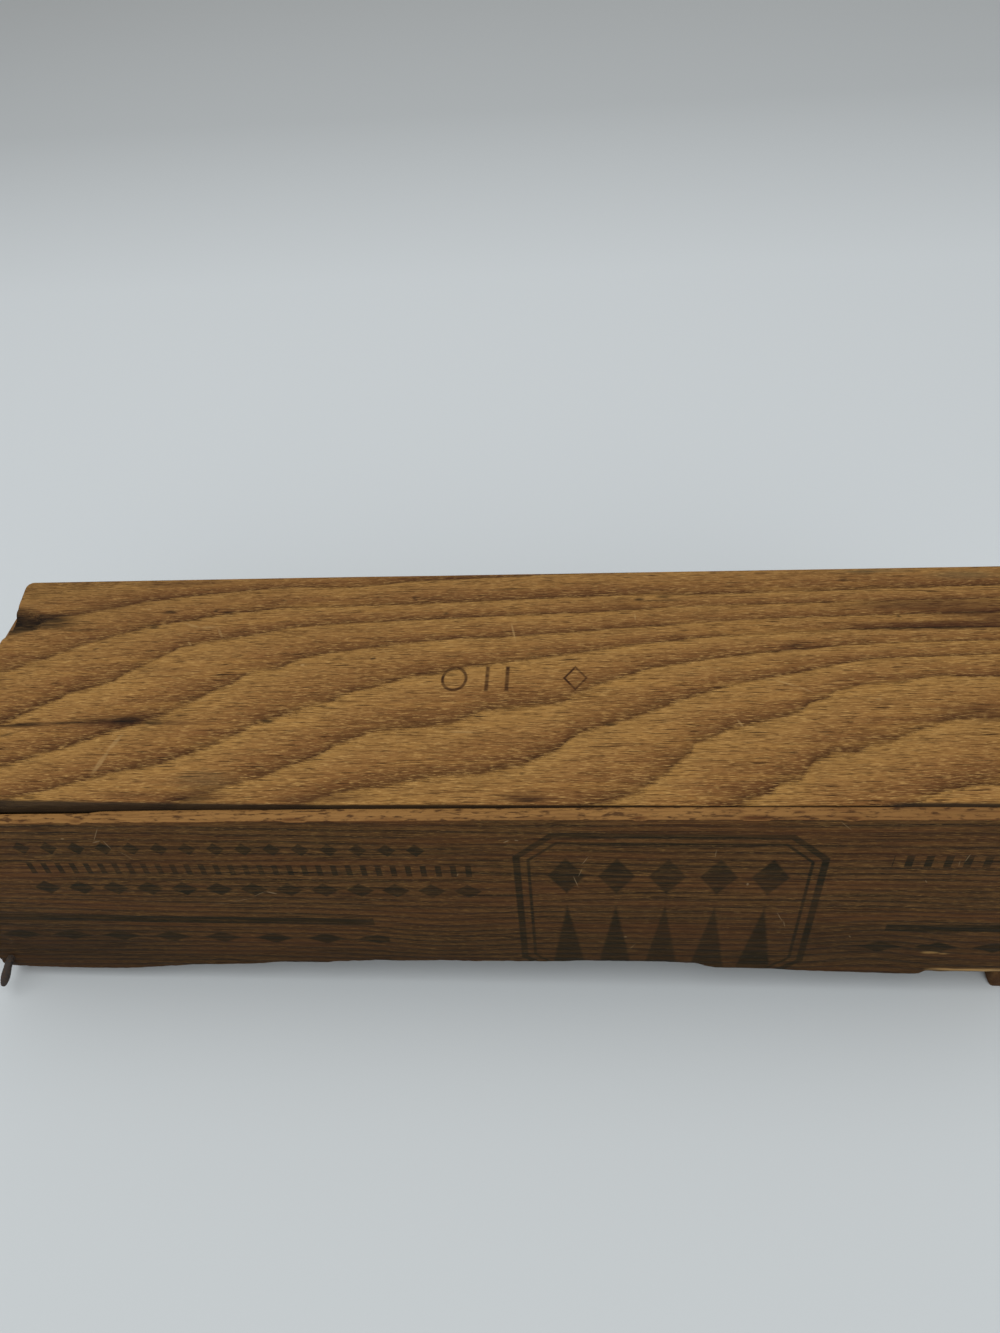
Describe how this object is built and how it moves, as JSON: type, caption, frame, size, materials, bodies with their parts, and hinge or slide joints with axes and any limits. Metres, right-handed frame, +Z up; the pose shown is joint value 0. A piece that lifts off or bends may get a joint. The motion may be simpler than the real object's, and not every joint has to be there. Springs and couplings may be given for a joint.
{
  "type": "wooden cheese crate",
  "caption": "Nailed wooden loaf crate lying open side down: thick end boards, thin side boards, the front one torn along the grain, a weathered bottom board on top and one bent nail.",
  "frame": {"origin": "centre of the base of the whole part's box, bent nail included, on the surface that the open rim rests on", "axes": "+X along the crate to the right as seen from its torn front side, +Y from the front side to the back side, +Z up from the open rim to the bottom board"},
  "size_m": [0.2985, 0.1018, 0.081],
  "materials": {
    "bottom_wood": "worn bare softwood, honey brown with darker growth rings",
    "side_wood": "dark aged softwood with faded ink marks",
    "end_wood": "aged sawn softwood",
    "nail_iron": "rusted"
  },
  "bodies": {
    "root": {"bottom_board": "bottom_wood", "front_side": "side_wood", "back_side": "side_wood", "left_end": "end_wood", "right_end": "end_wood", "bottom_nails": "nail_iron", "front_nails": "nail_iron", "back_nails": "nail_iron", "bent_nail": "nail_iron"}
  },
  "joints": []
}
